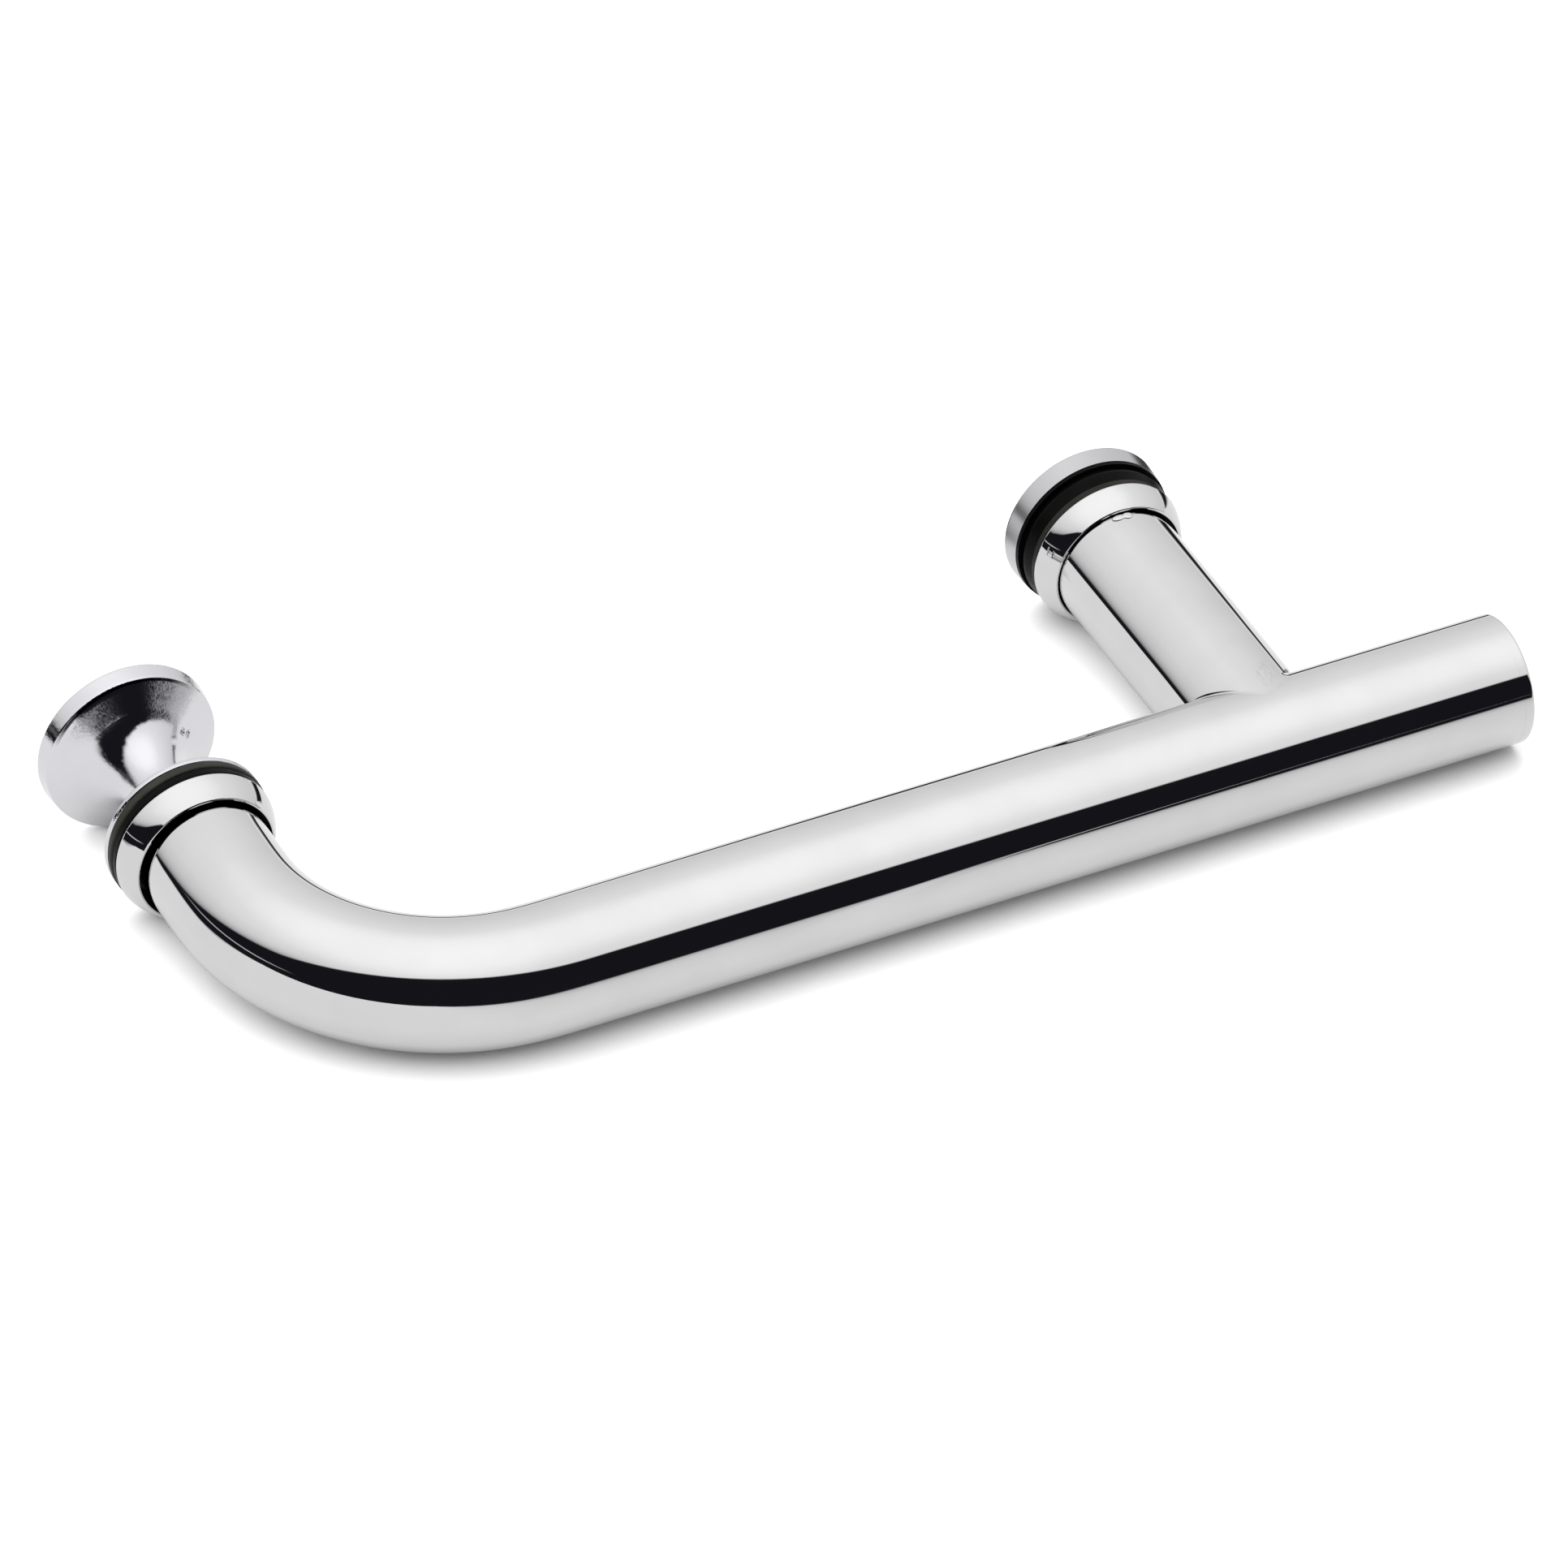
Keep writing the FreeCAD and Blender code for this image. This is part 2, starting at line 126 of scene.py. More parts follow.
def add_range(tree, source, low, high, to_low, to_high, smooth=False):
    """Stretches one span of numbers onto another, clamped at both ends."""
    node = add_node(tree, "MapRange", interpolation_type="SMOOTHSTEP" if smooth else "LINEAR")
    node.inputs["From Min"].default_value = low
    node.inputs["From Max"].default_value = high
    node.inputs["To Min"].default_value = to_low
    node.inputs["To Max"].default_value = to_high
    join(tree, source, node.inputs["Value"])
    return node.outputs["Result"]


def add_band(tree, source, low, rise, fall, high, smooth=False):
    """1 between two middle values, fading to 0 at the outer two."""
    up = add_range(tree, source, low, rise, 0.0, 1.0, smooth)
    return add_math(tree, "MULTIPLY", up, add_range(tree, source, fall, high, 1.0, 0.0, smooth))


print("helpers for sums are ready")

# %% Helpers for places
def add_axes(tree, place):
    """The X, Y and Z of a place, each in a socket of its own."""
    node = add_node(tree, "SeparateXYZ")
    join(tree, place, node.inputs["Vector"])
    return node.outputs["X"], node.outputs["Y"], node.outputs["Z"]


def add_reach(tree, x, z):
    """How far a place is from an axis along Y, from its two distances to the side."""
    squares = add_math(tree, "ADD", add_math(tree, "MULTIPLY", x, x), add_math(tree, "MULTIPLY", z, z))
    return add_math(tree, "SQRT", squares)


def add_dot(tree, place, along):
    """The dot product of a place, or of a direction, with one fixed vector."""
    node = add_node(tree, "VectorMath", operation="DOT_PRODUCT")
    node.inputs[1].default_value = along
    join(tree, place, node.inputs[0])
    return node.outputs["Value"]


def add_grain(tree, place, size, detail=2.0, stretch=(1.0, 1.0, 1.0)):
    """Noise whose blobs are about one size across, in metres, longer where stretch is above 1."""
    mapping = add_node(tree, "Mapping")
    mapping.inputs["Scale"].default_value = tuple(1.0 / (size * s) for s in stretch)
    join(tree, place, mapping.inputs["Vector"])
    noise = add_node(tree, "TexNoise", {"Scale": 1.0, "Detail": detail})
    join(tree, mapping.outputs["Vector"], noise.inputs["Vector"])
    return noise.outputs["Fac"]


print("helpers for places are ready")

# %% Helpers for finishes
finishes = {}


def start_finish(name):
    """A new material, kept by its name, with its Principled shader and its Object coordinates."""
    material = bpy.data.materials.new(name)
    material.use_nodes = True
    finishes[name] = material
    tree = material.node_tree
    shader = tree.nodes["Principled BSDF"]
    place = add_node(tree, "TexCoord").outputs["Object"]
    return tree, shader, place


def add_bump(tree, shader, height, depth):
    """Turns a height from 0 to 1 into a relief of the given depth in metres, on top of any before it."""
    bump = add_node(tree, "Bump", {"Distance": depth})
    join(tree, height, bump.inputs["Height"])
    normal = shader.inputs["Normal"]
    if normal.is_linked:
        join(tree, normal.links[0].from_socket, bump.inputs["Normal"])
    join(tree, bump.outputs["Normal"], normal)


def add_stain(tree, shader, share, tone):
    """Covers the colour that a shader has so far with another tone, by a share from 0 to 1."""
    stain = add_node(tree, "Mix", {"B": tone}, data_type="RGBA")
    colour = shader.inputs["Base Color"]
    join(tree, share, stain.inputs["Factor"])
    join(tree, colour.links[0].from_socket, stain.inputs["A"])
    join(tree, stain.outputs["Result"], colour)


print("helpers for finishes are ready")

# %% [markdown]
# Chrome plate.
#
# Chrome plate is a metal mirror that gives back about two thirds of the light. A mirror with no flaw
# looks like a drawing, so the plate gets faint hand smudges in its roughness and a very shallow
# orange-peel relief, at most a hundredth of a millimetre deep, that makes long reflections swim a little.
# The tubes, the collars and the knob get marks of their own on top of it. The cap needs none: it is satin,
# so it is only rougher and a little darker.

# %% Chrome plate, and the satin cap
SMUDGE = 9 * MM
SMUDGE_SHADE = 0.965
PEEL = 14 * MM


def chrome(name, colour, smooth, dull, peel_depth):
    """Chrome plate: a tinted mirror, smudged, with a faint orange peel."""
    tree, shader, place = start_finish(name)
    shader.inputs["Metallic"].default_value = 1.0
    smudge = add_grain(tree, place, SMUDGE, 4.0)
    deep = tuple(SMUDGE_SHADE * c for c in colour)
    join(tree, add_ramp(tree, smudge, [(0.35, deep), (0.62, colour)]), shader.inputs["Base Color"])
    join(tree, add_range(tree, smudge, 0.35, 0.75, smooth, dull), shader.inputs["Roughness"])
    add_bump(tree, shader, add_grain(tree, place, PEEL, 1.0), peel_depth)
    return tree, shader, place


chrome("cap_chrome", (0.560, 0.560, 0.575), smooth=0.210, dull=0.270, peel_depth=0.004 * MM)
print("finishes:", sorted(finishes))

# %% [markdown]
# The collars.
#
# The bore of each collar is a deep recess in shade, and that shade is painted: the finish counts the
# distance from each collar's axis, and is stained near black inside the bore's radius.

# %% Collar chrome
BORE_SHADE = (0.010, 0.010, 0.011, 1.0)
BORE_EDGE = 0.04 * MM
KNOB_BORE = 10.15 * MM
CAP_BORE = 9.80 * MM

tree, shader, place = chrome(
    "collar_chrome", (0.665, 0.664, 0.670), smooth=0.020, dull=0.050, peel_depth=0.005 * MM)
x, _, z = add_axes(tree, place)


def in_bore(axis_x, bore):
    """1 inside a collar's bore and 0 outside it."""
    reach = add_reach(tree, add_math(tree, "SUBTRACT", x, axis_x), z)
    return add_range(tree, reach, bore, bore + BORE_EDGE, 1.0, 0.0)


# Painted shade: everything inside a bore's radius is stained near black, standing in for the shade in the
# recess.
bore_shade = add_math(tree, "MAXIMUM", in_bore(0.0, KNOB_BORE), in_bore(standoff_x, CAP_BORE))
add_stain(tree, shader, bore_shade, BORE_SHADE)
print("collar finish has", len(tree.nodes), "nodes")

# %% [markdown]
# Marks of the weld.
#
# The stand-off is welded to the bar. A grinder blended the weld towards the free end, and left fine
# ripples, whose grooves get painted shade. On the knob's side it stopped short, so a crease stays open
# there, and its shade is painted dark, as is a spot in the corner at the far side. These marks follow the
# joint, so the finish works out how far a place is from the round of each tube, and its angle round the
# stand-off, counted from straight up.

# %% Tube chrome, with distances from the joint
tree, shader, place = chrome(
    "tube_chrome", (0.664, 0.662, 0.666), smooth=0.020, dull=0.050, peel_depth=0.010 * MM)
x, y, z = add_axes(tree, place)
aside = add_math(tree, "SUBTRACT", x, standoff_x)
ahead = add_math(tree, "SUBTRACT", y, bar_axis_y)
bar_depth = add_math(tree, "SUBTRACT", bar_radius ** 2, add_math(tree, "MULTIPLY", z, z))
bar_surface = add_math(tree, "SQRT", add_math(tree, "MAXIMUM", bar_depth, 0.0))
from_bar = add_math(tree, "SUBTRACT", ahead, bar_surface)
from_standoff = add_math(tree, "SUBTRACT", add_reach(tree, aside, z), standoff_radius)
angle = add_math(tree, "ARCTAN2", aside, z)
print("tube finish has", len(tree.nodes), "nodes so far")

# %% Painted shade in the weld
JOINT_SHADE = (0.012, 0.012, 0.012, 1.0)
JOINT_SHADE_LIFT = 0.45 * MM
JOINT_SHADE_EDGE = 0.08 * MM
CREASE_WIDTH = 0.26 * MM
CREASE_SHAPE = [(0.0, 0.0), (0.10, 0.55), (0.35, 1.0), (0.70, 0.60), (1.0, 0.0)]
CORNER_SPOT_WIDTH = 0.55 * MM
CORNER_SPOT_SHAPE = [(0.0, 0.0), (0.3, 0.8), (0.6, 1.0), (1.0, 0.0)]


def painted_shade_mark(first, last, width, shape):
    """How much painted shade a place gets: a mark between two angles, a little above the joint, shaped by
    ramp stops.
    """
    span = add_range(tree, angle, math.radians(first), math.radians(last), 0.0, 1.0)
    half = add_math(tree, "MULTIPLY", add_ramp(tree, span, shape), width)
    above = add_math(tree, "ABSOLUTE", add_math(tree, "SUBTRACT", from_bar, JOINT_SHADE_LIFT))
    away = add_math(tree, "ADD", above, add_math(tree, "ABSOLUTE", from_standoff))
    return add_range(tree, add_math(tree, "SUBTRACT", away, half), -JOINT_SHADE_EDGE, 0.0, 1.0, 0.0)


# Painted shade: a dark crease along the joint, and a dark spot in its corner at the far side.
crease = painted_shade_mark(-55, -17, CREASE_WIDTH, CREASE_SHAPE)
corner_spot = painted_shade_mark(34, 47, CORNER_SPOT_WIDTH, CORNER_SPOT_SHAPE)
add_stain(tree, shader, add_math(tree, "MAXIMUM", crease, corner_spot), JOINT_SHADE)
print("tube finish has", len(tree.nodes), "nodes so far")

# %% Ripples from the grinder
GROUND_ARC = [math.radians(a) for a in (-4, 8, 18, 30)]
GROUND_LIFT = [lift * MM for lift in (0.6, 1.8, 4.0, 6.0)]
RIPPLE = 0.28 * MM
RIPPLE_STRETCH = (0.8, 4.0, 1.0)
RIPPLE_DEPTH = 0.030 * MM
GROOVE_SHADE = (0.30, 0.30, 0.31, 1.0)
GROOVE_SHADE_SHARE = 0.22

ground = add_band(tree, angle, *GROUND_ARC, smooth=True)
ground = add_math(tree, "MULTIPLY", ground, add_band(tree, from_bar, *GROUND_LIFT, smooth=True))
ripples = add_grain(tree, place, RIPPLE, 1.0, RIPPLE_STRETCH)
add_bump(tree, shader, add_math(tree, "MULTIPLY", ripples, ground), RIPPLE_DEPTH)
# Painted shade: the grooves of the ripples are stained darker, on top of their bump.
groove_shade = add_range(tree, ripples, 0.46, 0.60, 0.0, GROOVE_SHADE_SHARE)
add_stain(tree, shader, add_math(tree, "MULTIPLY", ground, groove_shade), GROOVE_SHADE)
print("tube finish has", len(tree.nodes), "nodes")

# %% [markdown]
# The knob's plating.
#
# The knob is a casting, polished by hand before it was plated, and the photo shows it: the edges of its
# reflections are furry, with short hairs that run out along the flare, and the metal is a little more
# violet. A grain on the angle round the knob makes the hairs, and a coarse one makes the soft dents.

# %% Knob chrome
HAIR = 0.10 * MM
HAIR_RADIUS = 9 * MM
HAIR_STRETCH = (1.0, 5.0, 5.0)
HAIR_SHARE = 0.34
DENT = 1.3 * MM
KNOB_RELIEF = 0.022 * MM

tree, shader, place = chrome(
    "knob_chrome", (0.690, 0.685, 0.712), smooth=0.030, dull=0.060, peel_depth=0.010 * MM)
x, y, z = add_axes(tree, place)
reach = add_reach(tree, x, z)
round_knob = add_math(tree, "ARCTAN2", x, z)
unrolled = add_node(tree, "CombineXYZ")
join(tree, add_math(tree, "MULTIPLY", round_knob, HAIR_RADIUS), unrolled.inputs["X"])
join(tree, reach, unrolled.inputs["Y"])
join(tree, y, unrolled.inputs["Z"])
hairs = add_grain(tree, unrolled.outputs["Vector"], HAIR, 3.0, HAIR_STRETCH)
dents = add_grain(tree, place, DENT, 2.0)
height = add_math(tree, "ADD", add_math(tree, "MULTIPLY", hairs, HAIR_SHARE), dents)
add_bump(tree, shader, height, KNOB_RELIEF)
print("knob finish has", len(tree.nodes), "nodes so far")

# %% [markdown]
# Wear on the knob, and painted shade under its rim.
#
# Two stretches of its flare, near the top on either side, are scuffed dull, a thin line of painted shade
# runs under the rim, and two small pits have opened in the plate. Scuffs and the shade line are bands of
# angles round the knob and of distances from its axis, and a pit is what lies close to one spot. That keeps
# the marks in the finish, where they stay sharp at any distance, and no picture has to be painted.

# %% Scuffs on the knob
LEFT_SCUFF_ARC = [math.radians(a) for a in (-70, -44, -30, -4)]
LEFT_SCUFF_REACH = [r * MM for r in (7.5, 11.0, 11.7, 12.1)]
RIGHT_SCUFF_ARC = [math.radians(a) for a in (4, 20, 50, 60)]
RIGHT_SCUFF_REACH = [r * MM for r in (6.0, 9.0)]
SCUFF_DULL = (0.06, 0.40)

left_scuff = add_band(tree, round_knob, *LEFT_SCUFF_ARC)
left_scuff = add_math(tree, "MULTIPLY", left_scuff, add_band(tree, reach, *LEFT_SCUFF_REACH))
right_scuff = add_band(tree, round_knob, *RIGHT_SCUFF_ARC)
right_scuff = add_math(tree, "MULTIPLY", right_scuff, add_range(tree, reach, *RIGHT_SCUFF_REACH, 0.0, 1.0))
scuffed = add_math(tree, "MAXIMUM", left_scuff, right_scuff)
scuffed = add_math(tree, "MULTIPLY", scuffed, add_range(tree, hairs, 0.34, 0.62, *SCUFF_DULL))
smudged = shader.inputs["Roughness"].links[0].from_socket
join(tree, add_math(tree, "ADD", smudged, scuffed), shader.inputs["Roughness"])
print("knob finish has", len(tree.nodes), "nodes so far")

# %% Painted shade under the rim, and pits on the knob
KNOB_SHADE_AND_PITS = (0.030, 0.030, 0.032, 1.0)
RIM_SHADE_INSET = [inset * MM for inset in (0.42, 0.48, 0.76, 0.92)]
RIM_SHADE_ARC = [math.radians(a) for a in (-66, -52, 30, 48)]
KNOB_PITS = [Vector((6.6, 17.5, 3.6)) * MM, Vector((7.6, 17.8, 2.6)) * MM]
KNOB_PIT_RADII = (0.45 * MM, 0.75 * MM)
PITTING = 0.22 * MM
PITTING_SHARE = 0.9

# Painted shade: a thin dark line under the rim, where it meets the flare. The pits are real wear.
rim_shade_and_pits = add_band(tree, add_math(tree, "SUBTRACT", rim_radius, reach), *RIM_SHADE_INSET)
rim_shade_and_pits = add_math(tree, "MULTIPLY", rim_shade_and_pits, add_band(tree, round_knob, *RIM_SHADE_ARC))
pitting = add_range(tree, add_grain(tree, place, PITTING, 1.0), 0.44, 0.56, 0.0, PITTING_SHARE)
for spot in KNOB_PITS:
    away = add_node(tree, "VectorMath", operation="DISTANCE")
    away.inputs[1].default_value = spot
    join(tree, place, away.inputs[0])
    at_spot = add_range(tree, away.outputs["Value"], *KNOB_PIT_RADII, 1.0, 0.0)
    rim_shade_and_pits = add_math(tree, "MAXIMUM", rim_shade_and_pits, add_math(tree, "MULTIPLY", at_spot, pitting))
add_stain(tree, shader, rim_shade_and_pits, KNOB_SHADE_AND_PITS)
print("knob finish has", len(tree.nodes), "nodes")

# %% [markdown]
# Rubber and plastic rings.
#
# The glass is clamped between soft rings. Moulded rubber is nearly black, dull, and picks up dust on
# its high spots. The same recipe with other colours makes the brown ring, the olive-grey washer and
# the pale sleeves that keep metal off the glass.

# %% Recipe of the moulded rings
MOULD_CLOUD = 6 * MM
RUBBER_GRAIN = 0.35 * MM
RUBBER_RELIEF = 0.02 * MM
PLASTIC_RELIEF = 0.01 * MM


def moulded(name, dark, pale, rough, grain_size, relief, shine):
    """A moulded skin: cloudy colour, uneven gloss and a fine grain."""
    tree, shader, place = start_finish(name)
    shader.inputs["Specular IOR Level"].default_value = shine
    cloud = add_grain(tree, place, MOULD_CLOUD, 4.0)
    grain = add_grain(tree, place, grain_size, 3.0)
    join(tree, add_ramp(tree, cloud, [(0.35, dark), (0.70, pale)]), shader.inputs["Base Color"])
    join(tree, add_range(tree, grain, 0.3, 0.7, *rough), shader.inputs["Roughness"])
    add_bump(tree, shader, grain, relief)


print("a cloud in a moulded skin is", MOULD_CLOUD / MM, "mm across")

# %% Ring and sleeve finishes
moulded(
    "black_rubber", dark=(0.0008, 0.0008, 0.0008), pale=(0.002, 0.002, 0.002),
    rough=(0.26, 0.40), grain_size=RUBBER_GRAIN, relief=RUBBER_RELIEF, shine=0.05)
moulded(
    "brown_rubber", dark=(0.006, 0.005, 0.004), pale=(0.014, 0.012, 0.009),
    rough=(0.40, 0.58), grain_size=RUBBER_GRAIN, relief=RUBBER_RELIEF, shine=0.15)
moulded(
    "washer_plastic", dark=(0.011, 0.011, 0.009), pale=(0.020, 0.020, 0.016),
    rough=(0.42, 0.55), grain_size=0.25 * MM, relief=PLASTIC_RELIEF, shine=0.20)
moulded(
    "sleeve_plastic", dark=(0.62, 0.61, 0.57), pale=(0.72, 0.71, 0.67),
    rough=(0.40, 0.55), grain_size=0.40 * MM, relief=PLASTIC_RELIEF, shine=0.50)
print("finishes:", sorted(finishes))

# %% [markdown]
# Hidden metal.
#
# Brass plugs close the tube ends and steel studs pull the collars together. They hardly show, and
# they still get their real finish. Turned metal has fine
# rings round its axis, which is Y on all four pieces.

# %% Plug and stud finishes
LATHE_RING = 0.12 * MM
LATHE_STRETCH = (60.0, 1.0, 60.0)
LATHE_RELIEF = 0.01 * MM
LATHE_CLOUD = 3 * MM


def turned_metal(name, dark, pale, rough):
    """Bare metal off a lathe: fine rings along Y, with a cloudy tint."""
    tree, shader, place = start_finish(name)
    shader.inputs["Metallic"].default_value = 1.0
    rings = add_grain(tree, place, LATHE_RING, 2.0, LATHE_STRETCH)
    cloud = add_grain(tree, place, LATHE_CLOUD, 3.0)
    join(tree, add_ramp(tree, cloud, [(0.3, dark), (0.7, pale)]), shader.inputs["Base Color"])
    join(tree, add_range(tree, rings, 0.3, 0.7, *rough), shader.inputs["Roughness"])
    add_bump(tree, shader, rings, LATHE_RELIEF)


turned_metal("plug_brass", dark=(0.60, 0.43, 0.20), pale=(0.74, 0.57, 0.30), rough=(0.22, 0.38))
turned_metal("stud_steel", dark=(0.46, 0.46, 0.47), pale=(0.58, 0.58, 0.59), rough=(0.25, 0.42))
print("finishes:", sorted(finishes))

# %% [markdown]
# Give each CAD piece its finish. The record says which slot each node takes, so the list isn't
# written twice: a slot and its finish have the same name.

# %% Assign the finishes
for subpart in frame["record"]["subparts"]:
    node = nodes[subpart["node"]]
    node.data.materials.clear()
    node.data.materials.append(finishes[subpart["material_slot"]])
    print(subpart["node"], "is", subpart["material_slot"])

# %% [markdown]
# The bar, bent from one tube.
#
# The CAD bar is exact, but its mesh is cut into facets and its bend starts all at once, and a mirror
# shows both. So the bar is made again on the same line: a ring of edges is pulled down the stem, spun
# round the bend in short steps, and pulled out along the bar. A tube bender eases in and out of a bend,
# and so do the spins: the first and last ones have a larger radius. A Solidify modifier makes the wall.
# Last, the end of the stem is eased a little aside, because it sits loose in its collar.

# %% Helpers for tubes
TUBE_SIDES = 160
TUBE_WALL = 1.2 * MM
STRAIGHT_STEPS = 8


def start_ring(name, radius, place):
    """A new piece that starts as one ring of edges round an axis along Y, open in edit mode."""
    bpy.ops.object.select_all(action="DESELECT")
    bpy.ops.mesh.primitive_circle_add(
        vertices=TUBE_SIDES, radius=radius, location=place, rotation=(math.radians(90), 0, 0))
    piece = bpy.context.object
    piece.name = name
    piece.data.name = name
    bpy.ops.object.transform_apply(location=True, rotation=True, scale=True)
    bpy.ops.object.mode_set(mode="EDIT")
    bpy.ops.mesh.select_all(action="SELECT")
    return piece


def pull(step):
    """Extrudes the ring that is selected straight on."""
    bpy.ops.mesh.extrude_region_move(TRANSFORM_OT_translate={"value": step})


def apply_modifier(piece, kind, **settings):
    """Adds one modifier, sets it and applies it."""
    modifier = piece.modifiers.new(kind.lower(), kind)
    for name, setting in settings.items():
        setattr(modifier, name, setting)
    bpy.context.view_layer.objects.active = piece
    bpy.ops.object.modifier_apply(modifier=modifier.name)


def make_wall(piece, thickness):
    """Turns all faces outwards, leaves edit mode and gives the skin a wall on its inside."""
    bpy.ops.mesh.select_all(action="SELECT")
    bpy.ops.mesh.normals_make_consistent(inside=False)
    bpy.ops.object.mode_set(mode="OBJECT")
    apply_modifier(piece, "SOLIDIFY", thickness=thickness, offset=-1.0)


print("a tube has", TUBE_SIDES, "sides")

# %% Helpers to end a piece
SMOOTH_UNDER = 35


def sit_aside(piece, start_y, end_y, shift):
    """Eases the end of a tube aside, the way it sits in its loose collar."""
    for vertex in piece.data.vertices:
        share = (vertex.co.y - start_y) / (end_y - start_y)
        if share > 0:
            vertex.co += shift * share ** 2


def finish_piece(piece, slot, smooth_under=SMOOTH_UNDER):
    """Smooths a piece, gives it its finish, and lets it ride on the handle."""
    bpy.ops.object.select_all(action="DESELECT")
    piece.select_set(True)
    bpy.context.view_layer.objects.active = piece
    bpy.ops.object.shade_smooth_by_angle(angle=math.radians(smooth_under))
    piece.data.materials.clear()
    piece.data.materials.append(finishes[slot])
    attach(piece, BODY)
    print(piece.name, "has", len(piece.data.polygons), "faces")


print("edges under", SMOOTH_UNDER, "degrees are shaded smooth")

# %% Steps of the bend
BEND_RADIUS = 31.75 * MM
EASE = 10 * MM
EASE_STEPS = 10
ROUND_STEPS = 26

bend = [(BEND_RADIUS * EASE_STEPS / (i + 0.5), EASE / EASE_STEPS) for i in range(EASE_STEPS)]
round_length = math.pi / 2 * BEND_RADIUS - EASE
bend += [(BEND_RADIUS, round_length / ROUND_STEPS)] * ROUND_STEPS + bend[::-1]
heading = 0.0
bend_reach = 0.0
for radius, length in bend:
    after = heading + length / radius
    bend_reach += radius * (math.cos(heading) - math.cos(after))
    heading = after
bend_start = bar_axis_y + bend_reach
print("the bend turns", round(math.degrees(heading), 2), "degrees in", round(bend_reach / MM, 2), "mm")

# %% Bar
STEM_SHIFT = Vector((0.30, 0, 0.05)) * MM

bar = start_ring("bar_skin", bar_radius, (0, stem_end, 0))
for step in range(STRAIGHT_STEPS):
    pull((0, (bend_start - stem_end) / STRAIGHT_STEPS, 0))
spot = Vector((0, bend_start, 0))
heading = 0.0
for radius, length in bend:
    centre = spot + radius * Vector((math.cos(heading), math.sin(heading), 0))
    turn = length / radius
    bpy.ops.mesh.spin(steps=1, angle=-turn, center=centre, axis=(0, 0, 1))
    heading += turn
    spot = centre - radius * Vector((math.cos(heading), math.sin(heading), 0))
pull((bar_high.x - spot.x, 0, 0))
make_wall(bar, TUBE_WALL)
sit_aside(bar, bend_start, stem_end, STEM_SHIFT)
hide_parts("bar_tube")
finish_piece(bar, "tube_chrome")
print("the bend ends at", [round(v / MM, 2) for v in spot])

# %% [markdown]
# The stand-off.
#
# Its foot is coped to sit on the round of the bar. A tube is pulled to just short of the bar, given its
# wall, and then a Shrinkwrap modifier drops the vertices of its foot along Y until they meet the bar.
# Its other end is eased aside in its collar, as the stem's was.

# %% Stand-off
SHORT_OF_BAR = 1.5 * MM
FOOT_MARGIN = 0.01 * MM
STANDOFF_SHIFT = Vector((-0.20, 0, 0.10)) * MM
foot_y = bar_axis_y + bar_radius + SHORT_OF_BAR

standoff = start_ring("standoff_skin", standoff_radius, (standoff_x, standoff_high.y, 0))
for step in range(STRAIGHT_STEPS):
    pull((0, (foot_y - standoff_high.y) / STRAIGHT_STEPS, 0))
make_wall(standoff, TUBE_WALL)
foot = standoff.vertex_groups.new(name="foot")
foot.add([v.index for v in standoff.data.vertices if v.co.y < foot_y + FOOT_MARGIN], 1.0, "REPLACE")
apply_modifier(
    standoff, "SHRINKWRAP", target=bar, vertex_group="foot", wrap_method="PROJECT",
    use_project_y=True, use_negative_direction=True, use_positive_direction=False)
standoff.vertex_groups.clear()
sit_aside(standoff, foot_y, standoff_high.y, STANDOFF_SHIFT)
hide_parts("standoff_tube")
finish_piece(standoff, "tube_chrome")
print("the foot reaches y =", round(min(v.co.y for v in standoff.data.vertices) / MM, 2), "mm")

# %% [markdown]
# The weld.
#
# Where two tubes meet, a weld fills the corner. Its hollow face is what a ball would leave that rolls
# along the corner and touches both tubes, so the ball's size sets it: large where the weld was ground to a
# blend, small elsewhere. A torus is already a closed ring of sections, so it is the start, and each of
# its sections is laid into the corner: an arc from tube to tube, and one point sunk in the metal.

# %% Sections of the weld
WELD_STEPS = 24
WELD_ROOT = 0.4 * MM
PLAIN_BALL = 0.35 * MM
BLEND_BALL = 4.5 * MM
BLEND_RISE = (-28, 0)
BLEND_FALL = (16, 38)


def ease(value, low, high):
    """A soft step from 0 to 1 between two values."""
    share = min(max((value - low) / (high - low), 0.0), 1.0)
    return share * share * (3 - 2 * share)


def ball_centre(ball, turn):
    """Where a ball of one radius lies in the corner, at an angle round the stand-off."""
    out = standoff_radius + ball
    lift = math.sqrt((bar_radius + ball) ** 2 - (out * math.cos(turn)) ** 2)
    return Vector((standoff_x + out * math.sin(turn), bar_axis_y + lift, out * math.cos(turn)))


def weld_section(turn):
    """The points of one section of the weld."""
    degrees = math.degrees(turn)
    blend = ease(degrees, *BLEND_RISE) * (1 - ease(degrees, *BLEND_FALL))
    ball = PLAIN_BALL + (BLEND_BALL - PLAIN_BALL) * blend
    centre = ball_centre(ball, turn)
    to_standoff = Vector((-math.sin(turn), 0, -math.cos(turn)))
    to_bar = (Vector((centre.x, bar_axis_y, 0)) - centre).normalized()
    arc = [centre + ball * to_standoff.slerp(to_bar, step / WELD_STEPS) for step in range(WELD_STEPS + 1)]
    return arc + [ball_centre(-WELD_ROOT, turn)]


print("a section of the weld has", len(weld_section(0.0)), "points")

# %% Weld
WELD_SECTIONS = 240

